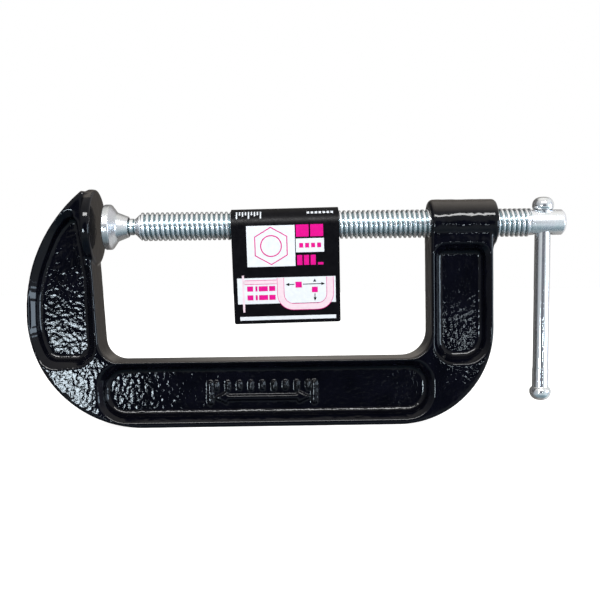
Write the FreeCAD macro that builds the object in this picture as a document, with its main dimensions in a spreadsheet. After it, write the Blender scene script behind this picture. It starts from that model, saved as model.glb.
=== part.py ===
import FreeCAD, Part
import math
import os

# C clamp, in millimetres.  The origin is the centre of the anvil face, on the screw axis.
# +X runs along the screw towards the tee bar, +Y away from the viewer, +Z up.

Vector = FreeCAD.Vector
Placement = FreeCAD.Placement
Rotation = FreeCAD.Rotation

SIZES = {
    # frame casting: a C of I-section, thick flanges round a thin web
    "frame_thickness": 22.0,
    "web_thickness": 8.0,
    "throat_depth": 68.0,
    "spine_height": 33.4,
    "spine_left": -34.1,
    "spine_right": 199.7,
    "left_arm_inner": 1.9,
    "right_arm_inner": 168.5,
    "outer_flange": 4.2,
    "inner_flange": 3.4,
    "heel_radius": 57.5,
    "back_radius": 77.0,
    "toe_radius": 48.0,
    "left_throat_radius": 11.0,
    "right_throat_radius": 13.0,
    "edge_round": 1.5,
    "pocket_fillet": 3.0,
    "rim_round": 0.8,
    "corner_pad_left": 3.2,
    "corner_pad_right": 166.8,
    # anvil disc on the left arm and round boss on the right arm
    "anvil_radius": 19.2,
    "anvil_thickness": 4.7,
    "anvil_round": 1.3,
    "boss_radius": 12.2,
    "boss_length": 34.2,
    "boss_round": 2.0,
    "shoulder_width": 14.0,
    # raised size mark cast in the spine pocket
    "mark_left": 55.3,
    "mark_length": 55.0,
    "mark_height": 11.6,
    "mark_middle": 84.9,
    "mark_relief": 1.2,
    # screw thread
    "pitch": 2.5,
    "major_radius": 7.25,
    "root_radius": 6.15,
    "crest_width": 0.9,
    "thread_clearance": 0.25,
    "nut_inner_radius": 6.60,
    "thread_phase": 18.0,
    # spindle
    "ball_radius": 5.17,
    "ball_centre": 10.2,
    "neck_radius": 4.2,
    "cone_start": 19.5,
    "thread_start": 22.6,
    "thread_end": 220.6,
    "head_radius": 6.5,
    "head_end": 238.2,
    "head_chamfer": 1.5,
    "bar_hole_radius": 4.3,
    "bar_hole_place": 227.7,
    "bar_hole_flare": 1.2,
    "bar_lean": 1.1,
    # tee bar
    "bar_radius": 4.0,
    "bar_grip_radius": 4.15,
    "bar_end_radius": 5.4,
    "bar_end_half": 2.6,
    "bar_dome": 4.3,
    "bar_top": 8.6,
    "bar_bottom": 87.3,
    "bar_grip_length": 11.8,
    # swivel pad
    "pad_face": 3.8,
    "pad_radius": 11.5,
    "pad_rim": 3.4,
    "pad_mouth": 15.8,
    "pad_mouth_radius": 5.2,
    "pad_lip_radius": 4.65,
    "socket_radius": 5.25,
    # folded label card
    "card_width": 54.3,
    "card_left": 68.2,
    "card_drop": 50.0,
    "card_thickness": 0.5,
    "card_bend_radius": 8.1,
    "card_tilt": 0.9,
}

doc = FreeCAD.newDocument("c_clamp")
sheet = doc.addObject("Spreadsheet::Sheet", "sizes")
for row, (alias, number) in enumerate(SIZES.items(), start=1):
    sheet.set("A%d" % row, alias)
    sheet.set("B%d" % row, str(number))
    sheet.setAlias("B%d" % row, alias)
doc.recompute()


def size(alias):
    """A driving dimension, read back from the sheet."""
    return float(sheet.get(alias))


def along_screw(start=0.0):
    """The place of something modelled along +Z, laid along the screw axis from X = start."""
    return Placement(Vector(start, 0, 0), Rotation(Vector(0, 1, 0), 90))


def bind(thing, **expressions):
    """Bind an object's properties to cells, such as Radius="head_radius"."""
    for name, expression in expressions.items():
        thing.setExpression(name, in_cells(expression))


def in_cells(expression):
    """The expression with each alias written as a reference to the sheet."""
    words = []
    for word in expression.split():
        words.append("sizes." + word if word in SIZES else word)
    return " ".join(words)


# ---- sketch helpers ---------------------------------------------------------------------


def plane(body, role):
    """One of the body's own origin planes or axes."""
    return next(one for one in body.Origin.OriginFeatures if one.Role == role)


def new_sketch(body, name, role, offset=0.0):
    """A sketch on an origin plane, moved along that plane's normal by the offset."""
    sketch = body.newObject("Sketcher::SketchObject", name)
    sketch.AttachmentSupport = (plane(body, role), [""])
    sketch.MapMode = "FlatFace"
    sketch.AttachmentOffset = Placement(Vector(0, 0, offset), Rotation())
    return sketch


def rounded_outline(corners):
    """Lines and tangent arcs through (x, y, radius) corners, as a closed chain of edges."""
    points = [Vector(x, y, 0) for x, y, radius in corners]
    spans = []
    for index, (x, y, radius) in enumerate(corners):
        corner = points[index]
        back = points[index - 1] - corner
        ahead = points[(index + 1) % len(points)] - corner
        if not radius:
            spans.append((corner, corner, corner))
            continue
        half_turn = back.getAngle(ahead) / 2
        reach = radius / math.tan(half_turn)
        middle = (back.normalize() + ahead.normalize()).normalize()
        centre = corner + middle * (radius / math.sin(half_turn))
        spans.append((corner + back * reach, centre - middle * radius, corner + ahead * reach))
    edges = []
    for index, (start, top, end) in enumerate(spans):
        if start != end:
            edges.append(Part.Arc(start, top, end))
        following = spans[(index + 1) % len(spans)][0]
        if (following - end).Length > 1e-4:
            edges.append(Part.LineSegment(end, following))
    return edges


def draw(sketch, corners):
    """Draw a closed rounded outline into a sketch."""
    sketch.addGeometry(rounded_outline(corners), False)


def revolve(body, name, sketch, axis_role):
    """A full revolution of a half profile about one of the body's origin axes."""
    feature = body.newObject("PartDesign::Revolution", name)
    feature.Profile = sketch
    feature.ReferenceAxis = (plane(body, axis_role), [""])
    feature.Angle = 360
    return feature


# ---- frame casting ----------------------------------------------------------------------


def frame_corners():
    """The C's outline, from the top of the left arm round the spine to the boss."""
    left = size("spine_left")
    right = size("spine_right")
    floor = -size("throat_depth") - size("spine_height")
    arm_top = size("anvil_radius") - 1.4
    inner_left = size("left_arm_inner")
    return [
        (-2.0, arm_top - 0.8, 0),
        (-5.8, arm_top, 0),
        (left, -7.0, size("back_radius")),
        (left, floor, size("heel_radius")),
        (right, floor, size("toe_radius")),
        (right, -3.0, 0),
        (size("right_arm_inner"), -3.0, 0),
        (size("right_arm_inner"), -size("throat_depth"), size("right_throat_radius")),
        (inner_left, -size("throat_depth"), size("left_throat_radius")),
        (inner_left - 3.1, -17.0, 0),
    ]


def left_pocket():
    """Rim of the left arm's pocket, inside the flanges, narrowing to a point at the top."""
    outer = size("spine_left") + size("outer_flange")
    inner = size("left_arm_inner") - size("inner_flange")
    floor = -size("throat_depth") + 0.6
    return [
        (-9.0, 8.6, 3.6),
        (outer + 11.0, -1.2, 30.0),
        (outer, -27.6, 70.0),
        (outer, -54.0, 40.0),
        (outer + 5.8, floor, 7.0),
        (inner - 1.2, floor, 7.5),
        (inner - 2.6, -25.0, 30.0),
    ]


def spine_pocket():
    """Rim of the long pocket in the spine."""
    top = -size("throat_depth") - 3.2
    floor = -size("throat_depth") - size("spine_height") + 5.5
    return [
        (size("corner_pad_left"), top, 10.0),
        (size("corner_pad_right"), top, 10.0),
        (size("corner_pad_right"), floor, 11.0),
        (size("corner_pad_left"), floor, 11.0),
    ]


def right_pocket():
    """Rim of the right arm's pocket, square under the boss and round at the bottom."""
    inner = size("right_arm_inner") + size("inner_flange")
    outer = size("spine_right") - size("outer_flange")
    top = -size("boss_radius") - 1.1
    floor = -size("throat_depth") - 0.6
    return [
        (inner, top, 4.0),
        (outer, top, 4.0),
        (outer, floor, 10.5),
        (inner, floor, 9.0),
    ]


def add_pocket(body, name, corners):
    """A pocket from the front face down to the web."""
    sketch = new_sketch(body, name + "_sketch", "XZ_Plane", size("frame_thickness") / 2)
    draw(sketch, corners)
    pocket = body.newObject("PartDesign::Pocket", name)
    pocket.Profile = sketch
    bind(pocket, Length="( frame_thickness - web_thickness ) / 2")
    return pocket


def edges_at_depth(shape, depth):
    """Names of the edges that lie flat at a distance in front of or behind the middle plane."""
    names = []
    for index, edge in enumerate(shape.Edges, start=1):
        box = edge.BoundBox
        if box.YLength < 1e-6 and abs(abs(box.YMin) - depth) < 1e-6:
            names.append("Edge%d" % index)
    return names


def round_edges(body, name, base, depth, radius):
    """Round every edge of the base that lies at a depth, by a bound radius."""
    doc.recompute()
    feature = body.newObject("PartDesign::Fillet", name)
    feature.Base = (base, edges_at_depth(base.Shape, depth))
    bind(feature, Radius=radius)
    doc.recompute()
    return feature


def add_anvil(body):
    """The round anvil disc, turned about the screw axis, with softened rims."""
    back = -size("anvil_thickness")
    rim = size("anvil_radius")
    soft = size("anvil_round")
    sketch = new_sketch(body, "anvil_sketch", "XY_Plane")
    draw(sketch, [(back, 0, 0), (back, rim, soft), (0, rim, soft), (0, 0, 0)])
    revolve(body, "anvil", sketch, "X_Axis")


def add_boss(body):
    """The round boss that carries the tapped hole."""
    start = size("right_arm_inner")
    end = start + size("boss_length")
    rim = size("boss_radius")
    soft = size("boss_round")
    sketch = new_sketch(body, "boss_sketch", "XY_Plane")
    draw(sketch, [(start, 0, 0), (start, rim, soft), (end, rim, soft), (end, 0, 0)])
    revolve(body, "boss", sketch, "X_Axis")


def add_shoulder(body):
    """The sloping shoulder that carries the overhanging end of the boss."""
    arm = size("spine_right")
    boss_end = size("right_arm_inner") + size("boss_length")
    sketch = new_sketch(body, "shoulder_sketch", "XZ_Plane")
    draw(sketch, [(arm - 4, -2, 0), (boss_end - 1.5, -2, 0), (boss_end - 1.5, -10.5, 1.5),
                  (arm, -17.5, 3.0), (arm - 4, -17.5, 0)])
    shoulder = body.newObject("PartDesign::Pad", "shoulder")
    shoulder.Profile = sketch
    shoulder.Midplane = True
    bind(shoulder, Length="shoulder_width")


def add_mark(body):
    """A raised generic size mark: a double arrow between end bars, over a row of ribs."""
    left = size("mark_left")
    right = left + size("mark_length")
    middle = -size("mark_middle")
    half = size("mark_height") / 2
    bar = 2.2
    head = 6.0
    shaft = 1.1
    line = middle - 2.6
    sketch = new_sketch(body, "mark_sketch", "XZ_Plane", size("web_thickness") / 2 - 0.5)
    for start in (left, right - bar):
        draw(sketch, [(start, middle - half, 0.6), (start + bar, middle - half, 0.6),
                      (start + bar, middle + half, 0.6), (start, middle + half, 0.6)])
    tail = left + bar + 1.2
    nose = right - bar - 1.2
    draw(sketch, [(tail, line, 0), (tail + head, line - 2.9, 0), (tail + head, line - shaft, 0),
                  (nose - head, line - shaft, 0), (nose - head, line - 2.9, 0), (nose, line, 0),
                  (nose - head, line + 2.9, 0), (nose - head, line + shaft, 0),
                  (tail + head, line + shaft, 0), (tail + head, line + 2.9, 0)])
    ribs = 9
    rib = 1.5
    step = (nose - tail - rib) / (ribs - 1)
    for index in range(ribs):
        start = tail + index * step
        bottom = middle + (0.9 if index % 2 else 1.5)
        draw(sketch, [(start, bottom, 0.4), (start + rib, bottom, 0.4),
                      (start + rib, middle + half, 0.4), (start, middle + half, 0.4)])
    mark = body.newObject("PartDesign::Pad", "mark")
    mark.Profile = sketch
    bind(mark, Length="mark_relief + 0.5")


def make_frame():
    body = doc.addObject("PartDesign::Body", "frame_blank")
    outline = new_sketch(body, "outline_sketch", "XZ_Plane")
    draw(outline, frame_corners())
    pad = body.newObject("PartDesign::Pad", "outline")
    pad.Profile = outline
    pad.Midplane = True
    bind(pad, Length="frame_thickness")
    face = size("frame_thickness") / 2
    web = size("web_thickness") / 2
    round_edges(body, "soft_flanges", pad, face, "edge_round")

    pockets = [
        add_pocket(body, "left_arm_pocket", left_pocket()),
        add_pocket(body, "spine_pocket", spine_pocket()),
        add_pocket(body, "right_arm_pocket", right_pocket()),
    ]
    both = body.newObject("PartDesign::Mirrored", "pockets_behind")
    both.Originals = pockets
    both.MirrorPlane = (plane(body, "XZ_Plane"), [""])
    body.Tip = both
    floors = round_edges(body, "pocket_floors", both, web, "pocket_fillet")
    round_edges(body, "pocket_rims", floors, face, "rim_round")
    add_anvil(body)
    add_boss(body)
    add_shoulder(body)
    doc.recompute()
    add_mark(body)
    doc.recompute()

    bore = cylinder("tap_bore", "nut_inner_radius", size("right_arm_inner") - 3, "boss_length + 6")
    return cut("tapped_frame", cut("bored_frame", body, bore), make_tap_thread())


# ---- screw thread -----------------------------------------------------------------------


def helical_sweep(name, inner, inner_width, outer, outer_width, start, turns):
    """A right-hand helical bar about the screw axis, with a four-sided section."""
    helix = doc.addObject("Part::Helix", name + "_path")
    bind(helix, Pitch="pitch", Height="pitch * %d" % turns)
    helix.Radius = inner
    helix.SegmentLength = 1
    helix.Placement = along_screw(start)
    section = doc.addObject("Part::Polygon", name + "_section")
    section.Nodes = [
        Vector(inner, 0, -inner_width / 2),
        Vector(inner, 0, inner_width / 2),
        Vector(outer, 0, outer_width / 2),
        Vector(outer, 0, -outer_width / 2),
    ]
    section.Close = True
    section.Placement = along_screw(start)
    doc.recompute()
    bar = doc.addObject("Part::Sweep", name)
    bar.Sections = [section]
    bar.Spine = (helix, ["Edge%d" % number for number in range(1, len(helix.Shape.Edges) + 1)])
    bar.Solid = True
    bar.Frenet = True
    return bar


def flank(depth):
    """Width that two 60 degree flanks gain over a depth."""
    return 2 * math.tan(math.radians(30)) * depth


def cylinder(name, radius, start, height):
    """A cylinder on the screw axis with its sizes bound to cells."""
    piece = doc.addObject("Part::Cylinder", name)
    bind(piece, Radius=radius, Height=height)
    piece.Placement = along_screw(start)
    return piece


def cone(name, start_radius, end_radius, start, height):
    """A cone on the screw axis with its sizes bound to cells."""
    piece = doc.addObject("Part::Cone", name)
    bind(piece, Radius1=start_radius, Radius2=end_radius, Height=height)
    piece.Placement = along_screw(start)
    return piece


def sphere(name, radius, centre):
    """A sphere on the screw axis."""
    piece = doc.addObject("Part::Sphere", name)
    bind(piece, Radius=radius)
    piece.Placement = along_screw(centre)
    return piece


def fuse(name, pieces):
    joined = doc.addObject("Part::MultiFuse", name)
    joined.Shapes = pieces
    return joined


def cut(name, base, tool):
    rest = doc.addObject("Part::Cut", name)
    rest.Base = base
    rest.Tool = tool
    return rest


def make_tap_thread():
    """The thread cut in the boss: the screw's own ridge, larger by the running clearance."""
    clear = size("thread_clearance")
    outer = size("major_radius") + clear
    inner = size("nut_inner_radius") - 0.15
    spread = 2 * clear / math.cos(math.radians(30))
    outer_width = size("crest_width") + spread - flank(clear)
    inner_width = outer_width + flank(outer - inner)
    # the screw's ridges lie half a pitch along from its groove, which starts at thread_phase
    turns_along = math.floor((size("right_arm_inner") - size("thread_phase")) / size("pitch")) - 1.5
    start = size("thread_phase") + turns_along * size("pitch")
    return helical_sweep("tap_thread", inner, inner_width, outer, outer_width, start, 17)


# ---- spindle ----------------------------------------------------------------------------

def make_spindle():
    """Ball nose, neck, threaded length and cross-drilled head, turned from one bar."""
    first = size("thread_start")
    last = size("thread_end")
    blank = cylinder("thread_blank", "major_radius", first, "thread_end - thread_start")
    lead = cone("thread_lead", "neck_radius", "major_radius", size("cone_start"),
                "thread_start - cone_start")
    core = fuse("thread_core", [blank, lead])
    groove_depth = size("major_radius") - size("root_radius")
    root_width = size("pitch") - size("crest_width") - flank(groove_depth)
    overshoot = 0.4
    turns = math.ceil((last - size("thread_phase")) / size("pitch")) + 1
    groove = helical_sweep("thread_groove", size("root_radius"), root_width,
                           size("major_radius") + overshoot,
                           root_width + flank(groove_depth + overshoot), size("thread_phase"), turns)
    threaded = cut("threaded_length", core, groove)

    ball = sphere("ball_nose", "ball_radius", size("ball_centre"))
    neck = cylinder("neck", "neck_radius", size("ball_centre"), "cone_start + 1 - ball_centre")
    plain = cylinder("head_plain", "head_radius", last - 1,
                     "head_end - head_chamfer - thread_end + 1")
    tip = cone("head_tip", "head_radius", "head_radius - head_chamfer",
               size("head_end") - size("head_chamfer"), "head_chamfer")
    head = cut("drilled_head", fuse("head", [plain, tip]), make_cross_hole())
    return fuse("spindle", [ball, neck, threaded, head])


def make_cross_hole():
    """The upright hole for the tee bar, flared where it leaves the round head."""
    place = size("bar_hole_place")
    reach = size("head_radius") + 2
    drill = doc.addObject("Part::Cylinder", "bar_drill")
    bind(drill, Radius="bar_hole_radius", Height="2 * head_radius + 4")
    drill.Placement = Placement(Vector(place, 0, -reach), Rotation())
    flares = []
    for side, turn in ((1, 0), (-1, 180)):
        flare = doc.addObject("Part::Cone", "bar_flare")
        bind(flare, Radius1="bar_hole_radius", Radius2="bar_hole_radius + bar_hole_flare + 1",
             Height="bar_hole_flare + 1")
        start = side * (size("head_radius") - size("bar_hole_flare"))
        flare.Placement = Placement(Vector(place, 0, start), Rotation(Vector(1, 0, 0), turn))
        flares.append(flare)
    return fuse("cross_hole", [drill] + flares)


# ---- tee bar ----------------------------------------------------------------------------


def make_tee_bar():
    """A round bar with both ends upset into domed heads, leaning a little in its loose hole."""
    body = doc.addObject("PartDesign::Body", "tee_bar")
    sketch = new_sketch(body, "bar_sketch", "XZ_Plane")
    rim = size("bar_end_radius")
    slim = size("bar_radius")
    grip = size("bar_grip_radius")
    under = size("bar_end_half")
    lip = under - 0.9
    top = size("bar_top")
    low = -size("bar_bottom")
    high_end = top + size("bar_dome")
    low_end = low - size("bar_dome")
    grip_top = low + size("bar_grip_length")
    draw(sketch, [
        (0, low_end, 0),
        (rim, low_end, 4.4),
        (rim, low + lip, 2.4),
        (grip, low + under, 0.5),
        (grip, grip_top, 1.0),
        (slim, grip_top + 0.6, 1.0),
        (slim, top - under, 0.3),
        (rim, top - lip, 2.4),
        (rim, high_end, 4.0),
        (0, high_end, 0),
    ])
    revolve(body, "bar", sketch, "Z_Axis")
    lean = Rotation(Vector(0, 1, 0), size("bar_lean"))
    body.Placement = Placement(Vector(size("bar_hole_place"), 0, 0), lean)
    return body


# ---- swivel pad -------------------------------------------------------------------------


def make_swivel_pad():
    """A flanged bell with a spherical socket, its mouth crimped round the ball nose."""
    body = doc.addObject("PartDesign::Body", "swivel_pad")
    sketch = new_sketch(body, "pad_sketch", "XY_Plane")
    face = size("pad_face")
    rim = size("pad_radius")
    back = face + size("pad_rim")
    mouth = size("pad_mouth")
    draw(sketch, [
        (face, 0, 0),
        (face, rim, 0.7),
        (back, rim, 1.3),
        (back + 3.0, 7.4, 2.2),
        (mouth, size("pad_mouth_radius"), 0.25),
        (mouth, 0, 0),
    ])
    revolve(body, "bell", sketch, "X_Axis")
    doc.recompute()

    socket = sphere("socket", "socket_radius", size("ball_centre"))
    throat = cylinder("socket_throat", "pad_lip_radius", size("ball_centre"),
                      "pad_mouth + 1 - ball_centre")
    return cut("crimped_bell", body, fuse("hollow", [socket, throat]))


# ---- label card -------------------------------------------------------------------------


def make_label_card():
    """A printed card folded over the screw and stuck to itself at the lower edge."""
    body = doc.addObject("PartDesign::Body", "label_card")
    sketch = new_sketch(body, "card_sketch", "YZ_Plane", size("card_left"))
    thick = size("card_thickness")
    inner_bend = size("card_bend_radius")
    for bend, foot, drop in (
        (inner_bend + thick, thick, size("card_drop")),
        (inner_bend, 0.03, size("card_drop") - 5.0),
    ):
        # the sides leave the bend along its tangents, so they start a little below its middle
        slope = math.asin((bend - foot) / drop)
        side = Vector(bend * math.cos(slope), bend * math.sin(slope) * -1, 0)
        bottom = Vector(foot, -drop, 0)
        mirrored = Vector(-side.x, side.y, 0)
        sketch.addGeometry([
            Part.Arc(side, Vector(0, bend, 0), mirrored),
            Part.LineSegment(mirrored, Vector(-foot, -drop, 0)),
            Part.LineSegment(Vector(-foot, -drop, 0), bottom),
            Part.LineSegment(bottom, side),
        ], False)
    pad = body.newObject("PartDesign::Pad", "card")
    pad.Profile = sketch
    bind(pad, Length="card_width")
    middle = Vector(size("card_left") + size("card_width") / 2, 0, 0)
    turn = Rotation(Vector(0, 1, 0), -size("card_tilt"))
    body.Placement = Placement(middle - turn.multVec(middle), turn)
    return body


# ---- the assembly -----------------------------------------------------------------------

SUB_PARTS = {
    "frame_casting": make_frame(),
    "spindle": make_spindle(),
    "tee_bar": make_tee_bar(),
    "swivel_pad": make_swivel_pad(),
    "label_card": make_label_card(),
}
doc.recompute()

for node, sub_part in SUB_PARTS.items():
    sub_part.Label = node
    for thing in [sub_part] + sub_part.OutListRecursive:
        if "Invalid" in thing.State or "Error" in thing.State:
            raise RuntimeError("%s failed to build" % thing.Label)
    shape = sub_part.Shape
    if shape.isNull() or not shape.isValid() or len(shape.Solids) != 1:
        raise RuntimeError("%s is not one valid solid" % node)

os.makedirs("parts", exist_ok=True)
for node, sub_part in SUB_PARTS.items():
    sub_part.Shape.exportStep("parts/%s.step" % node)
    print("%-14s %9.1f mm3  %d faces" % (node, sub_part.Shape.Volume, len(sub_part.Shape.Faces)))
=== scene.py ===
"""The looks of a C clamp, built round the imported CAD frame.

Sizes are in millimetres and are turned into metres where a mesh is made.
+X runs along the screw towards the tee bar, -Y faces the viewer, +Z is up.
"""

import math

import bmesh
import bpy
import numpy as np
from mathutils import Matrix, Vector, kdtree, noise


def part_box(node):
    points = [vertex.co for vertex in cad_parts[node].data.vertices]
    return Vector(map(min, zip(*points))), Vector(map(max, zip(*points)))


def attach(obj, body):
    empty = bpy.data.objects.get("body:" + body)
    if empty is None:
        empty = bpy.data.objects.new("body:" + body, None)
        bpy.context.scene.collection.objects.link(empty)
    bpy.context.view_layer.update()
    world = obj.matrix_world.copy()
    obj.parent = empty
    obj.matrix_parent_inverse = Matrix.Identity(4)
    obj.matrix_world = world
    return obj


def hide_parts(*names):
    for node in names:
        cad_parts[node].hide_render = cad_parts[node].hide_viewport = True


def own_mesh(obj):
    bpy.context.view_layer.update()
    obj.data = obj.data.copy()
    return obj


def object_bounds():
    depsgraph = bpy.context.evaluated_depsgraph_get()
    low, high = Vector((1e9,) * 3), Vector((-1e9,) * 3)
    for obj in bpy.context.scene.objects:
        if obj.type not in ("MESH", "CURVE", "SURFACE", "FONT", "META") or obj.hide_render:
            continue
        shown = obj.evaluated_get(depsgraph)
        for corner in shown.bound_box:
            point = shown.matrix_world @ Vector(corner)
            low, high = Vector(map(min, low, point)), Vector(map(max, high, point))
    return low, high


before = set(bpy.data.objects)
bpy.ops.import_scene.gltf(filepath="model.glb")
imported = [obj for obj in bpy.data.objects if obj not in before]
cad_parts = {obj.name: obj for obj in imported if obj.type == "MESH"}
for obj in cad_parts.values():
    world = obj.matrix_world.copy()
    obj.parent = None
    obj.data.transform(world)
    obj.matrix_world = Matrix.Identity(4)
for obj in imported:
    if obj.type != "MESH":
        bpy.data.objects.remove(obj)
cad_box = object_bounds()
MM = 0.001

FRAME_LOW, FRAME_HIGH = (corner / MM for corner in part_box("frame_casting"))

# ---- mesh helpers -----------------------------------------------------------------------


def add_piece(name, mesh, material, body, node):
    """A finished mesh as a piece that rides on a body and stands for a CAD node."""
    mesh.polygons.foreach_set("use_smooth", [True] * len(mesh.polygons))
    mesh.materials.clear()
    mesh.materials.append(material)
    piece = bpy.data.objects.new(name, mesh)
    bpy.context.scene.collection.objects.link(piece)
    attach(piece, body)
    if node:
        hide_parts(node)
    return piece


def mesh_from(name, points, faces):
    """A mesh from points in millimetres, with its doubled points merged."""
    shape = bmesh.new()
    corners = [shape.verts.new(Vector(point) * MM) for point in points]
    for face in faces:
        shape.faces.new([corners[index] for index in face])
    bmesh.ops.remove_doubles(shape, verts=shape.verts, dist=0.0005 * MM)
    bmesh.ops.recalc_face_normals(shape, faces=shape.faces)
    mesh = bpy.data.meshes.new(name)
    shape.to_mesh(mesh)
    shape.free()
    return mesh


def sharpen(mesh, degrees):
    """Marks the edges that fold more than an angle as sharp."""
    shape = bmesh.new()
    shape.from_mesh(mesh)
    for edge in shape.edges:
        if len(edge.link_faces) == 2 and edge.calc_face_angle() > math.radians(degrees):
            edge.smooth = False
    shape.to_mesh(mesh)
    shape.free()


def rounded(corners, steps=6):
    """The points of an outline whose (x, y, radius) corners are turned into arcs."""
    points = []
    for index, (x, y, radius) in enumerate(corners):
        corner = Vector((x, y))
        if not radius:
            points.append(corner)
            continue
        back = (Vector(corners[index - 1][:2]) - corner).normalized()
        ahead = (Vector(corners[(index + 1) % len(corners)][:2]) - corner).normalized()
        half_turn = back.angle(ahead) / 2
        centre = corner + (back + ahead).normalized() * (radius / math.sin(half_turn))
        reach = radius / math.tan(half_turn)
        start = (corner + back * reach - centre).normalized()
        end = (corner + ahead * reach - centre).normalized()
        for step in range(steps + 1):
            points.append(centre + start.slerp(end, step / steps) * radius)
    return points


def lathe(outline, segments, place):
    """Points and faces of (along, radius) points turned about an axis; place makes each point."""
    points = []
    for turn in range(segments):
        angle = 2 * math.pi * turn / segments
        for along, radius in outline:
            points.append(place(along, radius * math.sin(angle), -radius * math.cos(angle)))
    rows = len(outline)
    faces = []
    for turn in range(segments):
        here = turn * rows
        beyond = (turn + 1) % segments * rows
        for row in range(rows - 1):
            low_point = outline[row][1] < 1e-6
            high_point = outline[row + 1][1] < 1e-6
            if low_point and high_point:
                continue
            face = [here + row, here + row + 1, beyond + row + 1, beyond + row]
            if low_point:
                face = face[:3]
            if high_point:
                face = [face[0], face[1], face[3]]
            faces.append(face)
    return points, faces


def about_screw(along, side, up):
    """A point of something turned about the screw axis."""
    return (along, side, up)


# ---- shader helpers ---------------------------------------------------------------------


def new_material(name, **sockets):
    """A principled material; underscores in the socket names stand for spaces."""
    material = bpy.data.materials.new(name)
    material.use_nodes = True
    shader = material.node_tree.nodes["Principled BSDF"]
    for socket, value in sockets.items():
        shader.inputs[socket.replace("_", " ")].default_value = value
    return material


def add_node(material, kind, **inputs):
    """A shader node with some of its inputs set or linked, and its own choices made."""
    node = material.node_tree.nodes.new(kind)
    for choice in ("operation", "blend_type"):
        if choice in inputs:
            setattr(node, choice, inputs.pop(choice))
    for socket, value in inputs.items():
        target = node.inputs[socket.replace("_", " ")]
        if isinstance(value, bpy.types.NodeSocket):
            material.node_tree.links.new(value, target)
        else:
            target.default_value = value
    return node


def object_point(material):
    """The point being shaded, in metres in the piece's own frame."""
    return add_node(material, "ShaderNodeTexCoord").outputs["Object"]


def attribute(material, name):
    """A value that the piece's mesh carries at each point."""
    node = add_node(material, "ShaderNodeAttribute")
    node.attribute_name = name
    return node.outputs["Fac"]


def noise_of(material, grain, detail=3.0, stretch=(1, 1, 1)):
    """Noise with lumps about grain millimetres across."""
    mapping = add_node(material, "ShaderNodeMapping", Vector=object_point(material),
                       Scale=stretch)
    node = add_node(material, "ShaderNodeTexNoise", Vector=mapping.outputs["Vector"],
                    Scale=1 / (grain * MM), Detail=detail)
    return node.outputs["Fac"]


def ramp(material, value, low, high, out_low, out_high):
    """A value moved from one range to another and held inside it."""
    node = add_node(material, "ShaderNodeMapRange", Value=value)
    node.inputs["From Min"].default_value = low
    node.inputs["From Max"].default_value = high
    node.inputs["To Min"].default_value = out_low
    node.inputs["To Max"].default_value = out_high
    return node.outputs["Result"]


def tint(material, value, stops):
    """A colour ramp over a value, from (position, colour) stops."""
    node = add_node(material, "ShaderNodeValToRGB", Fac=value)
    elements = node.color_ramp.elements
    while len(elements) < len(stops):
        elements.new(0.5)
    for element, (position, colour) in zip(elements, stops):
        element.position = position
        element.color = (*colour, 1)
    return node.outputs["Color"]


def blend(material, share, first, second):
    """One colour turning into another as the share goes from 0 to 1."""
    node = add_node(material, "ShaderNodeMixRGB", Fac=share, Color1=first, Color2=second)
    return node.outputs["Color"]


def bump(material, height, depth, strength=1.0, under=None):
    """A bump of a height in millimetres, on top of another bump."""
    node = add_node(material, "ShaderNodeBump", Height=height, Strength=strength,
                    Distance=depth * MM)
    if under:
        material.node_tree.links.new(under, node.inputs["Normal"])
    return node.outputs["Normal"]


def feed(material, **sockets):
    """Links values into the principled shader's sockets."""
    shader = material.node_tree.nodes["Principled BSDF"]
    for socket, value in sockets.items():
        material.node_tree.links.new(value, shader.inputs[socket.replace("_", " ")])


# ---- materials --------------------------------------------------------------------------


def black_enamel():
    """Glossy black enamel, brushed thick over a sand casting, with a painted brownish sheen where it
    faces up.
    """
    material = new_material("black_enamel", IOR=1.34, Specular_IOR_Level=0.38)
    patches = noise_of(material, 9.0)
    paint = tint(material, patches, [
        (0.3, (0.0005, 0.0006, 0.0014)), (0.7, (0.0012, 0.0013, 0.0030))])
    # painted sheen: a brownish grey that lightens the faces looking up, standing in for the light
    # they catch
    painted_top_sheen = (0.035, 0.031, 0.028, 1)
    feed(material, Base_Color=blend(material, attribute(material, "painted_top_sheen"), paint, painted_top_sheen))
    feed(material, Roughness=ramp(material, noise_of(material, 3.0), 0.3, 0.7, 0.05, 0.11))
    lumps = bump(material, noise_of(material, 0.8, 1.5), 0.05)
    material.node_tree.links.new(attribute(material, "cast_grain"), lumps.node.inputs["Strength"])
    feed(material, Normal=bump(material, noise_of(material, 2.4, 1.0), 0.02, 0.5, lumps))
    return material


def zinc(name, roughness, marks, stretch, shine=1.0):
    """Bright zinc plate with a faint blue passivation and turning marks, with painted dark teal shade
    in its grooves.
    """
    material = new_material(name, Metallic=0.93)
    patches = noise_of(material, 5.0)
    plate = tint(material, patches, [
        (0.25, (0.74 * shine, 0.80 * shine, 0.83 * shine)),
        (0.5, (0.82 * shine, 0.84 * shine, 0.87 * shine)),
        (0.8, (0.83 * shine, 0.82 * shine, 0.88 * shine))])
    # painted shade: a dark teal laid into the grooves and thread roots wherever the mesh's groove
    # value says so
    shadow = (0.20, 0.29, 0.32, 1)
    feed(material, Base_Color=blend(material, attribute(material, "groove"), plate, shadow))
    low, high = roughness
    feed(material, Roughness=ramp(material, noise_of(material, 1.2), 0.3, 0.7, low, high))
    feed(material, Normal=bump(material, noise_of(material, 0.5, 2.0, stretch), marks))
    return material


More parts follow.
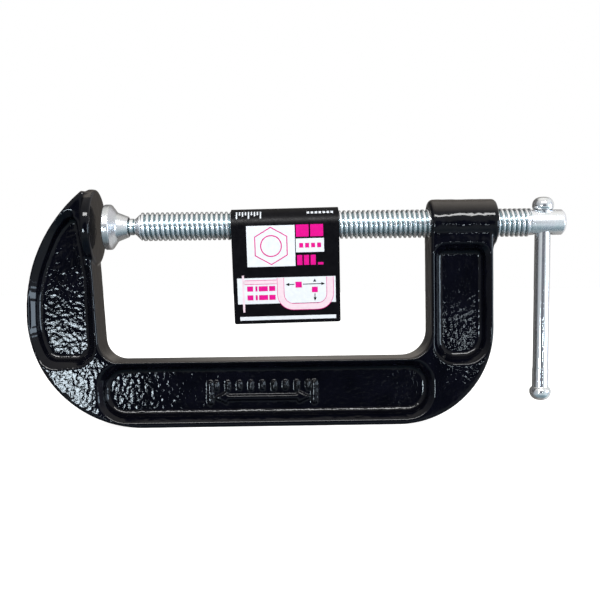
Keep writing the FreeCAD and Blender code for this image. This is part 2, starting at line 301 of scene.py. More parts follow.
def printed_black():
    """Black ink on coated card, with a faint paper grain and scuffs."""
    material = new_material("printed_card", IOR=1.35, Specular_IOR_Level=0.15)
    scuffs = noise_of(material, 4.0)
    feed(material, Base_Color=tint(material, scuffs, [
        (0.35, (0.0009, 0.0009, 0.0016)), (0.8, (0.0022, 0.0021, 0.0032))]))
    feed(material, Roughness=ramp(material, noise_of(material, 1.5), 0.3, 0.7, 0.28, 0.45))
    feed(material, Normal=bump(material, noise_of(material, 0.25, 2.0), 0.01, 0.6))
    return material


def ink(name, dark, light):
    """A printed colour with a little mottle from the press."""
    material = new_material(name, IOR=1.4, Specular_IOR_Level=0.15)
    feed(material, Base_Color=tint(material, noise_of(material, 1.6), [(0.3, dark), (0.7, light)]))
    feed(material, Roughness=ramp(material, noise_of(material, 1.5), 0.3, 0.7, 0.3, 0.45))
    return material


# ---- frame casting ----------------------------------------------------------------------

VOXEL = 0.45
BORE = 7.36
# the thread in the boss, wherever it is cut, lies this close round the plain bore
BORE_SEARCH = 0.3
BOSS = 12.2
BOSS_REACH = 40
# half the thickness of the web between the hollows' floors, and of the casting at its faces
WEB_HALF = 4.0
FACE_HALF = 11.0
# where the raised corner pads end
LEFT_PAD = 8.0
RIGHT_PAD = 162.0
PAD_TOP = -64.0
# heights of the small speckle and the slow ripple of the cast skin
SPECKLE = 0.085
RIPPLE = 0.13
# widths of the leaning walls, which are wider at the back of the left arm
SLOPE = 4.2
BACK = -20.0
BACK_RUN = 14
BACK_SLOPE = 5.4
STEEP_WIDTH = 1.3
STEEP_HEIGHT = 3.6
FOOT_HEIGHT = 0.4
# the anvil's stem, which keeps its CAD shape
ANVIL_BACK = -5.0
ANVIL_LOW = -19.6
# lowest and highest (x, z) corners of each hollow's plan
HOLLOWS = (((-32.5, -72.0), (2.0, 14.0)),
           ((-1.0, -99.5), (172.0, -68.5)),
           ((167.5, -72.0), (199.0, -9.5)))


def changed_mesh(mesh, modifiers):
    """The mesh after a list of (kind, settings) modifiers."""
    source = bpy.data.objects.new("changing", mesh)
    bpy.context.scene.collection.objects.link(source)
    for kind, settings in modifiers:
        modifier = source.modifiers.new(kind, kind)
        for setting, value in settings.items():
            setattr(modifier, setting, value)
    graph = bpy.context.evaluated_depsgraph_get()
    result = bpy.data.meshes.new_from_object(source.evaluated_get(graph))
    bpy.data.objects.remove(source)
    return result


def soft_skin():
    """The casting as an even skin, its hollows' walls leaning and all its edges softened."""
    even = ("REMESH", {"mode": "VOXEL", "voxel_size": VOXEL * MM})
    mesh = changed_mesh(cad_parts["frame_casting"].data.copy(), [even])
    points = points_of(mesh)
    put_points(mesh, lean_walls(points, normals_of(mesh)))
    return changed_mesh(mesh, [even, ("SMOOTH", {"factor": 0.5, "iterations": 8})])


def carry(mesh, name, values):
    """Gives each point of a mesh a value that its material can read."""
    mesh.attributes.new(name, "FLOAT", "POINT").data.foreach_set("value", values)


def in_hollows(points):
    """Which points lie inside the plan of a hollow and its sloping walls."""
    inside = np.zeros(len(points), bool)
    for low, high in HOLLOWS:
        inside |= ((points[:, 0] > low[0]) & (points[:, 0] < high[0])
                   & (points[:, 2] > low[1]) & (points[:, 2] < high[1]))
    return inside


def lean_walls(points, normals):
    """The points with each hollow's wall cut back: steep at the floor, then leaning to the face."""
    depth = np.abs(points[:, 1])
    inside = in_hollows(points)
    foot = inside & (np.abs(normals[:, 1]) > 0.7) & (np.abs(depth - WEB_HALF - 0.3) < 0.2)
    feet = kdtree.KDTree(int(foot.sum()))
    for index, point in enumerate(points[foot]):
        feet.insert((point[0], 0, point[2]), index)
    feet.balance()
    behind_anvil = (np.abs(points[:, 0] - ANVIL_BACK) < -ANVIL_BACK) & (points[:, 2] > ANVIL_LOW)
    on_wall = inside & (depth > WEB_HALF + 1) & (depth < FACE_HALF + 0.3)
    moved = points.copy()
    for index in np.flatnonzero(on_wall & ~behind_anvil):
        away = feet.find((points[index][0], 0, points[index][2]))[2]
        slope = np.interp(points[index][0], (BACK, BACK + BACK_RUN), (BACK_SLOPE, SLOPE))
        if away < slope:
            limit = np.interp(away, (0, STEEP_WIDTH, slope),
                              (WEB_HALF + FOOT_HEIGHT, WEB_HALF + STEEP_HEIGHT, FACE_HALF))
            moved[index][1] = math.copysign(min(depth[index], limit), points[index][1])
    return moved


def points_of(mesh):
    """A mesh's points as rows of millimetres."""
    flat = np.zeros(len(mesh.vertices) * 3)
    mesh.vertices.foreach_get("co", flat)
    return flat.reshape(-1, 3) / MM


def normals_of(mesh):
    """A mesh's point normals as rows."""
    flat = np.zeros(len(mesh.vertices) * 3)
    mesh.vertex_normals.foreach_get("vector", flat)
    return flat.reshape(-1, 3)


def put_points(mesh, points):
    """Moves a mesh's points to rows of millimetres."""
    mesh.vertices.foreach_set("co", (points * MM).ravel())
    mesh.update()


def smooth_step(value, low, high):
    """0 below low, 1 above high, and a smooth rise between."""
    share = np.clip((value - low) / (high - low), 0, 1)
    return share * share * (3 - 2 * share)


def cast_grain(points, normals):
    """How coarse the sand-cast surface is at each point, from 0 to 1."""
    depth = np.abs(points[:, 1])
    facing = smooth_step(np.abs(normals[:, 1]), 0.6, 0.95)
    floors = 1 - smooth_step(depth, WEB_HALF + 0.8, WEB_HALF + 3.0)
    below = 1 - smooth_step(points[:, 2], PAD_TOP - 6, PAD_TOP)
    left = 1 - smooth_step(points[:, 0], LEFT_PAD - 2, LEFT_PAD + 2)
    right = smooth_step(points[:, 0], RIGHT_PAD - 2, RIGHT_PAD + 6)
    at_face = smooth_step(depth, FACE_HALF - 1.2, FACE_HALF - 0.5)
    pads = at_face * below * np.maximum(left, 0.3 * right)
    floors *= np.where(points[:, 0] > RIGHT_PAD, 0.5, 1)
    return 0.12 + 0.88 * facing * np.maximum(floors, pads)


def two_noises(points, coarse, fine, fine_share):
    """Noise at two sizes, each given in turns per millimetre, at each point."""
    return np.array([noise.noise(point * coarse) + fine_share * noise.noise(point * fine)
                     for point in map(Vector, points)])


def cast_skin(points, normals, grain):
    """The points lifted by the cast skin's relief, with the tapped bore turned plain."""
    lumps = two_noises(points, 0.55, 1.2, 0.5)
    waves = two_noises(points, 0.2, 0.5, 0.4)
    on_boss = smooth_step(points[:, 2], -BOSS - 4, -BOSS) * (points[:, 0] > RIGHT_PAD)
    lift = SPECKLE * grain * lumps + RIPPLE * (0.25 + 0.75 * on_boss) * waves
    radius = np.hypot(points[:, 1], points[:, 2])
    in_bore = (points[:, 0] > FRAME_HIGH.x - BOSS_REACH) & (radius < BORE + BORE_SEARCH)
    moved = points + normals * np.where(in_bore, 0, lift)[:, None]
    widen = np.where(in_bore, BORE / np.maximum(radius, 0.1), 1)
    moved[:, 1:] *= widen[:, None]
    return np.clip(moved, FRAME_LOW, FRAME_HIGH)


def make_frame():
    """The casting: a softened skin with the coarse grain of sand in its hollows."""
    mesh = soft_skin()
    points = points_of(mesh)
    normals = normals_of(mesh)
    grain = cast_grain(points, normals)
    put_points(mesh, cast_skin(points, normals, grain))
    carry(mesh, "cast_grain", grain)
    # painted sheen: faces looking up, outside the hollows, are lightened towards a brownish grey
    carry(mesh, "painted_top_sheen", np.where(in_hollows(points), 0, smooth_step(normals[:, 2], 0.3, 0.95)))
    add_piece("cast_frame", mesh, black_enamel(), "frame", "frame_casting")


# ---- spindle ----------------------------------------------------------------------------

PITCH = 2.5
MAJOR = 7.25
ROOT = 6.15
CREST = 0.9
THREAD_PHASE = 18.0
NECK = 4.2
CONE_START = 19.5
THREAD_START = 22.6
THREAD_END = 220.6
HEAD = 6.5
HEAD_END = 238.2
BALL = 5.17
BALL_CENTRE = 10.2
BAR_PLACE = 227.7
BAR_HOLE = 4.3
BAR_LEAN = math.radians(1.1)
PAD_MOUTH = 15.8
GROOVE = 0.55
SEGMENTS = 80


def thread_radius(along):
    """The thread's radius at a distance along from the middle of a groove."""
    from_groove = abs((along + PITCH / 2) % PITCH - PITCH / 2)
    from_crest = PITCH / 2 - from_groove
    flank = (MAJOR - ROOT) * math.tan(math.radians(30))
    fall = (from_crest - CREST / 2) / flank
    fall = min(max(fall, 0), 1)
    soft = fall * fall * (3 - 2 * fall)
    return MAJOR - (MAJOR - ROOT) * (0.6 * fall + 0.4 * soft)


def lead_radius(along):
    """The largest radius that the cone in front of the thread leaves."""
    share = (along - CONE_START) / (THREAD_START - CONE_START)
    return NECK + (MAJOR - NECK) * min(max(share, 0), 1)


def thread_mesh():
    """The threaded length as one helical skin, closed at both ends."""
    per_pitch = 10
    turns = math.ceil((THREAD_END - CONE_START) / PITCH) + 3
    rows = turns * per_pitch
    first = THREAD_PHASE - PITCH
    points = []
    for turn in range(SEGMENTS):
        angle = 2 * math.pi * turn / SEGMENTS
        for row in range(rows):
            along = first + (row / per_pitch + turn / SEGMENTS) * PITCH
            along = min(max(along, CONE_START), THREAD_END)
            radius = thread_radius(along - THREAD_PHASE - PITCH * turn / SEGMENTS)
            radius = min(radius, lead_radius(along))
            points.append((along, radius * math.sin(angle), -radius * math.cos(angle)))
    faces = []
    for turn in range(SEGMENTS):
        last = turn == SEGMENTS - 1
        here = turn * rows
        beyond = (turn + 1) % SEGMENTS * rows + (per_pitch if last else 0)
        for row in range(rows - 1 - (per_pitch if last else 0)):
            faces.append((here + row, here + row + 1, beyond + row + 1, beyond + row))
    return close_ends(mesh_from("thread", points, faces))


def close_ends(mesh):
    """Removes the faces that have no area and caps the open ends."""
    shape = bmesh.new()
    shape.from_mesh(mesh)
    bmesh.ops.dissolve_degenerate(shape, dist=0.001 * MM, edges=shape.edges)
    open_edges = [edge for edge in shape.edges if edge.is_boundary]
    bmesh.ops.holes_fill(shape, edges=open_edges, sides=0)
    bmesh.ops.recalc_face_normals(shape, faces=shape.faces)
    shape.to_mesh(mesh)
    shape.free()
    return mesh


def cut_away(mesh, tool_mesh):
    """The mesh with the tool's volume taken out of it."""
    base = bpy.data.objects.new("base", mesh)
    tool = bpy.data.objects.new("tool", tool_mesh)
    for one in (base, tool):
        bpy.context.scene.collection.objects.link(one)
    boolean = base.modifiers.new("cut", "BOOLEAN")
    boolean.operation = "DIFFERENCE"
    boolean.solver = "EXACT"
    boolean.object = tool
    graph = bpy.context.evaluated_depsgraph_get()
    result = bpy.data.meshes.new_from_object(base.evaluated_get(graph))
    for one in (base, tool):
        bpy.data.objects.remove(one)
    return result


def head_mesh():
    """The plain head, drilled across for the tee bar, with flared hole rims."""
    outline = rounded([(THREAD_END - 1, 0, 0), (THREAD_END - 1, HEAD, 0),
                       (HEAD_END - 1.2, HEAD, 0.8), (HEAD_END, HEAD - 1.2, 0.5), (HEAD_END, 0, 0)], 4)
    head = mesh_from("head", *lathe(outline, SEGMENTS, about_screw))
    reach = HEAD + 2
    flare_start = HEAD - 1.2
    wide = BAR_HOLE + reach - flare_start
    hole = [(-reach, 0), (-reach, wide), (-flare_start, BAR_HOLE), (flare_start, BAR_HOLE),
            (reach, wide), (reach, 0)]
    drill = mesh_from("drill", *lathe(hole, 64, about_hole))
    drilled = cut_away(head, drill)
    sharpen(drilled, 35)
    return drilled


def about_hole(along, side, across):
    """A point of something turned about the upright hole's axis."""
    return (BAR_PLACE + across, side, along)


def about_bar(along, side, across):
    """A point of something turned about the tee bar's leaning axis."""
    return (BAR_PLACE + across * math.cos(BAR_LEAN) + along * math.sin(BAR_LEAN), side,
            along * math.cos(BAR_LEAN) - across * math.sin(BAR_LEAN))


def nose_mesh():
    """The ball that swivels in the pad, and the neck behind it."""
    meet = BALL_CENTRE + math.sqrt(BALL ** 2 - NECK ** 2)
    turns = 20
    widest = math.pi - math.asin(NECK / BALL)
    angles = [widest * step / turns for step in range(turns + 1)]
    outline = [(BALL_CENTRE - BALL * math.cos(angle), BALL * math.sin(angle)) for angle in angles]
    outline[0] = (outline[0][0], 0)
    outline += [(meet + 0.4, NECK), (PAD_MOUTH - 0.5, NECK), (PAD_MOUTH - 0.2, NECK - GROOVE),
                (PAD_MOUTH + 0.6, NECK - GROOVE), (PAD_MOUTH + 0.8, NECK), (18.3, NECK),
                (18.5, NECK - GROOVE), (19.0, NECK - GROOVE), (19.2, NECK),
                (CONE_START + 0.3, NECK), (CONE_START + 0.3, 0)]
    mesh = mesh_from("nose", *lathe(outline, SEGMENTS, about_screw))
    points = points_of(mesh)
    # painted shadow: the neck's two narrow grooves, at the pad's mouth and before the cone, take the
    # zinc's dark teal
    painted_shadow_rings = (points[:, 0] > PAD_MOUTH - 0.6) & (np.hypot(points[:, 1], points[:, 2]) < NECK - 0.1)
    painted_shadow_rings &= points[:, 0] < CONE_START
    carry(mesh, "groove", painted_shadow_rings.astype(float))
    sharpen(mesh, 35)
    return mesh


def make_spindle():
    """Thread, head and nose, each a closed mesh in the spindle's place."""
    thread_zinc = zinc("zinc_thread", (0.23, 0.30), 0.003, (1, 0.4, 0.4))
    head_zinc = zinc("zinc_head", (0.26, 0.29), 0.0003, (2.5, 0.3, 0.3), 0.95)
    thread = thread_mesh()
    points = points_of(thread)
    # painted shade: the deeper a point sits in the thread's roots, the more it takes the zinc's dark
    # teal
    depth = smooth_step(MAJOR - np.hypot(points[:, 1], points[:, 2]), 0.15, MAJOR - ROOT)
    along_thread = (points[:, 0] > THREAD_START) & (points[:, 0] < THREAD_END - 0.1)
    carry(thread, "groove", depth * along_thread)
    add_piece("screw_thread", thread, thread_zinc, "spindle", "spindle")
    add_piece("screw_head", head_mesh(), head_zinc, "spindle", None)
    add_piece("ball_nose", nose_mesh(), head_zinc, "spindle", None)


# ---- tee bar and pad --------------------------------------------------------------------


def make_tee_bar():
    """The bar with its two upset heads."""
    rim = 5.4
    slim = 4.0
    grip = 4.15
    low = -87.3
    top = 8.6
    dome = 4.3
    outline = rounded([
        (low - dome, 0, 0), (low - dome, rim, 4.4), (low + 1.7, rim, 2.4), (low + 2.6, grip, 0.5),
        (low + 11.8, grip, 1.0), (low + 12.4, slim, 1.0), (top - 2.6, slim, 0.3),
        (top - 1.7, rim, 2.4), (top + dome, rim, 4.0), (top + dome, 0, 0)], 10)
    mesh = mesh_from("tee_bar_skin", *lathe(outline, SEGMENTS, about_bar))
    chrome = zinc("zinc_bar", (0.10, 0.13), 0.0003, (0.3, 0.3, 0.02), 0.95)
    add_piece("sliding_bar", mesh, chrome, "tee_bar", "tee_bar")


def make_pad():
    """The flanged bell, hollow inside for the ball."""
    face = 3.8
    rim = 11.5
    back = 7.2
    lip = 4.66
    socket = 5.26
    outside = rounded([(face, 0, 0), (face, rim, 0.7), (back, rim, 1.3), (back + 3.0, 7.4, 2.2),
                       (PAD_MOUTH, 5.2, 0.25), (PAD_MOUTH, lip, 0)], 8)
    meet = math.asin(lip / socket)
    turns = 24
    inside = []
    for step in range(turns + 1):
        angle = meet + (math.pi - meet) * step / turns
        inside.append((BALL_CENTRE + socket * math.cos(angle), socket * math.sin(angle)))
    inside[-1] = (inside[-1][0], 0)
    mesh = mesh_from("pad_skin", *lathe(outside + inside, SEGMENTS, about_screw))
    sharpen(mesh, 60)
    metal = zinc("zinc_pad", (0.26, 0.32), 0.001, (1.5, 0.5, 0.5), 0.72)
    add_piece("swivel_pad_bell", mesh, metal, "pad", "swivel_pad")


# ---- label card -------------------------------------------------------------------------

CARD_WIDTH = 54.3
CARD_LEFT = 68.2
CARD_DROP = 50.0
CARD_THICK = 0.5
CARD_BEND = 8.1
CARD_TILT = math.radians(0.9)
CARD_CORNER = 1.0
# level cuts through the print near the fold
FOLD_CUTS = 24
FOLD_CUT_GAP = 0.45


def tilt_card(x, y, z):
    """A point of the upright card, turned by the small tilt of the hanging card."""
    middle = CARD_LEFT + CARD_WIDTH / 2
    across = x - middle
    return (middle + across * math.cos(CARD_TILT) - z * math.sin(CARD_TILT), y,
            across * math.sin(CARD_TILT) + z * math.cos(CARD_TILT))


def card_point(u, z, lift, side=-1):
    """A point on the card's face: u from its left edge, z from the screw axis, lift outwards."""
    bend = CARD_BEND + CARD_THICK + lift
    foot = CARD_THICK + lift
    slope = math.asin((bend - foot) / CARD_DROP)
    start = -bend * math.sin(slope)
    if z > start:
        depth = math.sqrt(max(bend * bend - z * z, 0))
    else:
        share = (start - z) / (start + CARD_DROP)
        depth = bend * math.cos(slope) * (1 - share) + foot * share
    return tilt_card(CARD_LEFT + u, side * depth, z)


def card_section(bend, foot, drop):
    """A loop of (y, z) points over the fold, from the back foot to the front one."""
    slope = math.asin((bend - foot) / drop)
    steps = 28
    arc = []
    for step in range(steps + 1):
        angle = -slope + (math.pi + 2 * slope) * step / steps
        arc.append((bend * math.cos(angle), bend * math.sin(angle)))
    return [(foot, -drop)] + arc + [(-foot, -drop)]


def card_mesh():
    """The folded card as a closed shell, its lower corners rounded."""
    corner_steps = 5
    columns = [CARD_CORNER * (1 - math.cos(math.pi / 2 * step / corner_steps))
               for step in range(corner_steps + 1)]
    columns += [CARD_WIDTH - u for u in reversed(columns)]
    outer = card_section(CARD_BEND + CARD_THICK, CARD_THICK, CARD_DROP)
    inner = card_section(CARD_BEND, 0.03, CARD_DROP - 5.0)
    count = len(outer)
    points = []
    for u in columns:
        near = min(u, CARD_WIDTH - u)
        short = CARD_CORNER - near
        lift = CARD_CORNER - math.sqrt(max(CARD_CORNER ** 2 - max(short, 0) ** 2, 0))
        for loop in (outer, inner):
            for y, z in loop:
                rise = lift if z < -CARD_DROP + 1e-3 else 0
                points.append(tilt_card(CARD_LEFT + u, y, z + rise))
    faces = []
    span = 2 * count
    for column in range(len(columns) - 1):
        here = column * span
        for index in range(count):
            ahead = (index + 1) % count
            faces.append((here + index, here + ahead, here + span + ahead, here + span + index))
            faces.append((here + count + ahead, here + count + index,
                          here + span + count + index, here + span + count + ahead))
    for column in (0, len(columns) - 1):
        here = column * span
        for index in range(count):
            ahead = (index + 1) % count
            faces.append((here + index, here + count + index, here + count + ahead, here + ahead))
    mesh = mesh_from("card", points, faces)
    sharpen(mesh, 40)
    return mesh


def box_outline(left, bottom, right, top):
    """An upright oblong as a list of one face."""
    return [[(left, bottom), (right, bottom), (right, top), (left, top)]]


def band(outer, inner):
    """The faces between two loops with as many points each."""
    count = len(outer)
    return [[outer[index], outer[(index + 1) % count], inner[(index + 1) % count], inner[index]]
            for index in range(count)]


def loop_points(centre, radius, sides, start=0.0):
    """The corners of a regular shape, or of a circle when it has many sides."""
    return [(centre[0] + radius * math.cos(start + 2 * math.pi * step / sides),
             centre[1] + radius * math.sin(start + 2 * math.pi * step / sides))
            for step in range(sides)]


def ring(centre, radius, width, sides, start=0.0):
    """A line of a width along a regular shape or a circle."""
    return band(loop_points(centre, radius + width / 2, sides, start),
                loop_points(centre, radius - width / 2, sides, start))


def frame_line(left, top, right, bottom, radius, width):
    """An open C bent from a strip: down the left side, along the bottom and up the right."""
    steps = 8
    path = []
    for inset in (0, width):
        line = [(left + inset, top)]
        bend = radius - inset
        for centre_x, start in ((left + radius, math.pi), (right - radius, 1.5 * math.pi)):
            for step in range(steps + 1):
                angle = start + math.pi / 2 * step / steps
                line.append((centre_x + bend * math.cos(angle),
                             bottom + radius + bend * math.sin(angle)))
        line.append((right - inset, top))
        path.append(line)
    outer, inner = path
    return [[outer[index], outer[index + 1], inner[index + 1], inner[index]]
            for index in range(len(outer) - 1)]


def flat_print(shapes):
    """The flat shapes as one mesh, cut where the card bends so that it can follow the fold."""
    flat = bmesh.new()
    for shape in shapes:
        flat.faces.new([flat.verts.new((u, z, 0)) for u, z in shape])
    bmesh.ops.remove_doubles(flat, verts=flat.verts, dist=0.01)
    for step in range(FOLD_CUTS):
        level = CARD_BEND - step * FOLD_CUT_GAP
        bmesh.ops.bisect_plane(flat, geom=flat.verts[:] + flat.edges[:] + flat.faces[:],
                               plane_co=(0, level, 0), plane_no=(0, 1, 0))
    return flat


def print_mesh(name, shapes, low, high, side=-1):
    """Printed shapes as closed films that stand between two heights over the card."""
    flat = flat_print(shapes)
    flat.verts.index_update()
    count = len(flat.verts)
    places = [vert.co.copy() for vert in flat.verts]
    points = [card_point(place.x, place.y, lift, side) for lift in (low, high) for place in places]
    faces = []
    for face in flat.faces:
        loop = [vert.index for vert in face.verts]
        faces.append([index + count for index in loop])
        faces.append(loop[::-1])
    for edge in flat.edges:
        if len(edge.link_faces) == 1:
            loop = edge.link_loops[0]
            start = loop.vert.index
            end = loop.link_loop_next.vert.index
            faces.append([start, end, end + count, start + count])
    flat.free()
    mesh = mesh_from(name, points, faces)
    sharpen(mesh, 30)
    return mesh


def ticks(left, top, count, gap, width, lengths):
    """A row of short upright marks, their lengths repeating."""
    shapes = []
    for index in range(count):
        start = left + index * gap
        shapes += box_outline(start, top - lengths[index % len(lengths)], start + width, top)
    return shapes


def white_print():
    """The white grounds of the front: small marks, a square, a side tab, a panel, a bar."""
    shapes = ticks(2.6, 6.8, 9, 1.5, 0.7, (3.6, 1.8, 2.4, 1.8))
    shapes += ticks(38.2, 6.2, 7, 2.0, 1.3, (1.1,))
    shapes += box_outline(7.6, -21.0, 31.9, -0.5)
    shapes += box_outline(32.3, -14.2, 46.5, -7.3)
    shapes += box_outline(2.1, -39.8, 52.0, -26.6)
    shapes += box_outline(2.9, -48.2, 52.0, -46.3)
    return shapes


def magenta_print():
    """Magenta on the front: a nut's outline, a title block, size bars and caption bars."""
    nut = (19.8, -10.7)
    shapes = ring(nut, 9.3, 0.55, 6, math.radians(30))
    shapes += ring(nut, 5.2, 0.55, 40)
    shapes += box_outline(32.5, -6.4, 38.9, -0.4)
    shapes += box_outline(39.7, -6.4, 46.2, -0.4)
    for start in (34.0, 37.0, 40.0, 43.0):
        shapes += box_outline(start, -11.9, start + 2.0, -9.6)
    for start in (32.8, 36.2, 39.6):
        shapes += box_outline(start, -20.6, start + 2.6, -15.6)
    shapes += box_outline(43.2, -20.6, 46.0, -19.4)
    for top in (-30.8, -35.3):
        for start, width in ((7.0, 3.0), (11.2, 1.0), (12.9, 4.6), (18.1, 3.2)):
            shapes += box_outline(start, top - 2.6, start + width, top)
    shapes += box_outline(31.6, -32.0, 34.8, -29.0)
    shapes += box_outline(39.9, -34.6, 42.9, -31.8)
    return shapes


def pale_print():
    """A pale pink pictogram: an open frame, a screw and a cross bar."""
    shapes = frame_line(22.4, -26.9, 50.8, -43.2, 8.0, 3.2)
    shapes += box_outline(5.2, -29.6, 22.0, -28.0)
    shapes += box_outline(4.6, -44.0, 5.6, -25.2)
    return shapes


def line_print():
    """Thin magenta outlines round the pictogram."""
    shapes = frame_line(22.2, -26.8, 51.0, -43.4, 8.2, 0.25)
    shapes += frame_line(25.6, -26.8, 47.6, -40.2, 5.0, 0.25)
    shapes += box_outline(5.8, -29.9, 22.0, -29.65)
    shapes += box_outline(5.8, -27.95, 22.0, -27.7)
    return shapes


def arrow_print():
    """Two black dimension arrows, one across and one down."""
    shapes = [[(26.6, -30.3), (28.4, -31.1), (28.4, -29.5)],
              [(46.6, -30.3), (44.8, -29.5), (44.8, -31.1)]]
    shapes += box_outline(28.45, -30.5, 31.0, -30.1)
    shapes += box_outline(35.4, -30.5, 44.75, -30.1)
    shapes += [[(41.4, -39.0), (42.2, -37.2), (40.6, -37.2)],
               [(41.4, -27.6), (40.6, -29.2), (42.2, -29.2)]]
    shapes += box_outline(41.2, -37.15, 41.6, -35.2)
    return shapes


def back_print():
    """The back's plain white bars."""
    return box_outline(2.9, -48.2, 52.0, -46.3) + box_outline(6.0, -24.0, 49.0, -8.0)


def make_label():
    """The card and its films of ink, which all lie between the pad and the boss."""
    white = ink("ink_white", (0.40, 0.425, 0.45), (0.44, 0.46, 0.485))
    magenta = ink("ink_magenta", (0.36, 0.0, 0.125), (0.42, 0.0, 0.15))
    pale = ink("ink_pale", (0.44, 0.35, 0.395), (0.47, 0.385, 0.42))
    black = printed_black()
    under = -0.06
    pieces = [
        ("folded_card", card_mesh(), black, "label_card"),
        ("print_white", print_mesh("white", white_print(), under, 0.03), white, None),
        ("print_pale", print_mesh("pale", pale_print(), under, 0.06), pale, None),
        ("print_lines", print_mesh("lines", line_print(), under, 0.08), magenta, None),
        ("print_magenta", print_mesh("magenta", magenta_print(), under, 0.09), magenta, None),
        ("print_arrows", print_mesh("arrows", arrow_print(), under, 0.10), black, None),
        ("print_back", print_mesh("back", back_print(), under, 0.03, 1), white, None),
    ]
    for name, mesh, material, node in pieces:
        piece = add_piece(name, mesh, material, "label", node)
        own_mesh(piece)


# ---- room -------------------------------------------------------------------------------


def add_light(name, place, target, width, height, strength, colour=(1, 1, 1)):
    """A soft box light that faces a target; strength is its brightness as seen."""
    lamp = bpy.data.lights.new(name, "AREA")
    lamp.shape = "RECTANGLE"
    lamp.size = width
    lamp.size_y = height
    lamp.energy = strength * math.pi * width * height
    lamp.color = colour
    light = bpy.data.objects.new(name, lamp)
    light.location = place
    light.rotation_euler = (Vector(target) - Vector(place)).to_track_quat("-Z", "Y").to_euler()
    light.visible_camera = False
    bpy.context.scene.collection.objects.link(light)


def shade_of_front(world, axes):
    """The room the clamp faces: bright walls and ceiling, cooler towards the floor."""
    height = tint(world, ramp(world, axes["Z"], -1, 1, 0, 1), [
        (0.0, (0.22, 0.30, 0.32)), (0.06, (0.12, 0.22, 0.27)), (0.16, (0.24, 0.38, 0.43)),
        (0.26, (0.68, 0.80, 0.85)), (0.45, (0.80, 0.86, 0.89)), (0.85, (1.0, 0.99, 0.97)),
        (1.0, (0.80, 0.78, 0.74))])
    across = tint(world, ramp(world, axes["X"], -1, 1, 0, 1), [
        (0.0, (0.35, 0.35, 0.37)), (0.2, (0.75, 0.75, 0.75)), (0.7, (0.80, 0.80, 0.80)),
        (0.8, (1.0, 1.0, 1.0)), (0.92, (1.0, 1.0, 1.0)), (1.0, (0.50, 0.48, 0.58))])
    return add_node(world, "ShaderNodeMixRGB", blend_type="MULTIPLY", Fac=1.0, Color1=height,
                    Color2=across).outputs["Color"]


def shade_of_back(world, axes):
    """The table the clamp lies against: dim beige, darker to the left and lighter to the right."""
    return tint(world, ramp(world, axes["X"], -1, 1, 0, 1), [
        (0.3, (0.09, 0.085, 0.08)), (0.41, (0.10, 0.095, 0.09)), (0.5, (0.36, 0.34, 0.31)),
        (0.56, (0.26, 0.24, 0.22)), (0.63, (0.22, 0.20, 0.18)), (0.8, (0.80, 0.79, 0.78))])


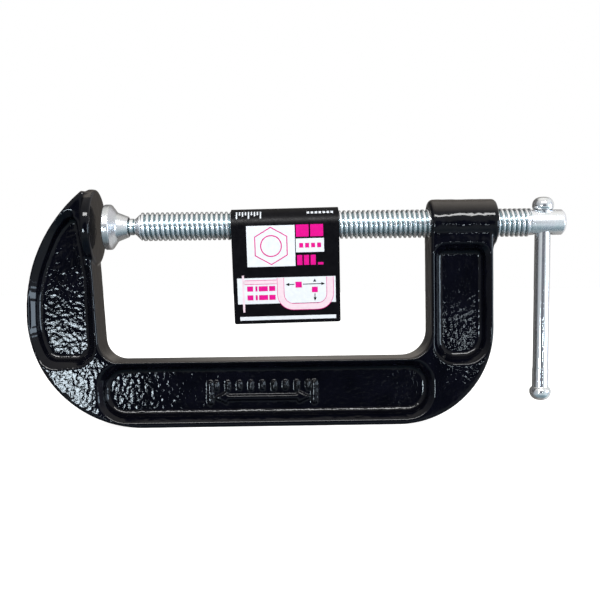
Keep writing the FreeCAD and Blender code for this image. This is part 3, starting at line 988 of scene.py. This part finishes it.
def make_world():
    """A white sweep to look at, lit by a bright room with a dim patch behind the viewer."""
    world = bpy.data.worlds.new("room")
    bpy.context.scene.world = world
    world.use_nodes = True
    world.node_tree.nodes.clear()
    direction = add_node(world, "ShaderNodeTexCoord").outputs["Generated"]
    axes = add_node(world, "ShaderNodeSeparateXYZ", Vector=direction).outputs
    patch = add_node(world, "ShaderNodeMapping", Vector=direction,
                     Location=(0.1, 0, 0.2), Scale=(3.2, 0, 4.6))
    away = add_node(world, "ShaderNodeVectorMath", operation="LENGTH", Vector=patch.outputs["Vector"])
    beyond_patch = ramp(world, away.outputs["Value"], 0.95, 1.35, 0, 1)
    front = blend(world, beyond_patch, (0.05, 0.06, 0.09, 1), shade_of_front(world, axes))
    back = ramp(world, axes["Y"], -0.1, 0.2, 0, 1)
    walls = blend(world, back, front, shade_of_back(world, axes))
    ceiling = ramp(world, axes["Z"], 0.75, 0.95, 0, 1)
    room = blend(world, ceiling, walls, (1.0, 0.97, 0.91, 1))
    seen = add_node(world, "ShaderNodeBackground", Color=(1, 1, 1, 1))
    lit = add_node(world, "ShaderNodeBackground", Color=room)
    path = add_node(world, "ShaderNodeLightPath")
    mix = add_node(world, "ShaderNodeMixShader", Fac=path.outputs["Is Camera Ray"])
    output = add_node(world, "ShaderNodeOutputWorld")
    world.node_tree.links.new(lit.outputs["Background"], mix.inputs[1])
    world.node_tree.links.new(seen.outputs["Background"], mix.inputs[2])
    world.node_tree.links.new(mix.outputs["Shader"], output.inputs["Surface"])


def make_floor():
    """A plain pale floor under the spine."""
    material = new_material("pale_floor", Base_Color=(0.5, 0.5, 0.5, 1), Roughness=0.9,
                            Emission_Color=(1, 1, 1, 1), Emission_Strength=0.95)
    material.node_tree.nodes["Principled BSDF"].inputs["Specular IOR Level"].default_value = 0
    half = 3.0
    level = cad_box[0][2] - 0.0002
    mesh = bpy.data.meshes.new("floor")
    corners = [(-half, -half, level), (half, -half, level), (half, half, level), (-half, half, level)]
    mesh.from_pydata(corners, [], [(0, 1, 2, 3)])
    mesh.materials.append(material)
    floor = bpy.data.objects.new("floor", mesh)
    floor.visible_glossy = False
    bpy.context.scene.collection.objects.link(floor)


def make_camera():
    """The photograph's viewing angle, 400 mm in front of the clamp."""
    lens = bpy.data.cameras.new("camera")
    lens.sensor_width = 36
    lens.lens = 46.8
    lens.clip_start = 0.01
    camera = bpy.data.objects.new("camera", lens)
    camera.location = (0.0974, -0.400, -0.0258)
    turn = (Matrix.Rotation(math.radians(-0.733), 4, "Z")
            @ Matrix.Rotation(math.radians(90 - 1.797), 4, "X")
            @ Matrix.Rotation(math.radians(-0.712), 4, "Z"))
    camera.rotation_euler = turn.to_euler()
    bpy.context.scene.collection.objects.link(camera)
    bpy.context.scene.camera = camera


def make_room():
    """The world, the floor, four soft lights and the camera."""
    make_world()
    make_floor()
    middle = (0.09, 0, -0.04)
    add_light("top_front", (0.10, -0.72, 0.52), middle, 0.8, 0.14, 33)
    add_light("left_window", (-0.325, -0.95, -0.215), middle, 0.14, 0.13, 64, (0.78, 0.91, 1.0))
    add_light("right_window", (0.42, -0.95, -0.14), middle, 0.022, 0.022, 75, (0.80, 0.92, 1.0))
    add_light("side_window", (0.97, -0.38, -0.06), middle, 0.42, 0.30, 13, (0.68, 0.84, 1.0))
    make_camera()
    bpy.context.scene.view_settings.view_transform = "Standard"


make_frame()
make_spindle()
make_tee_bar()
make_pad()
make_label()
make_room()
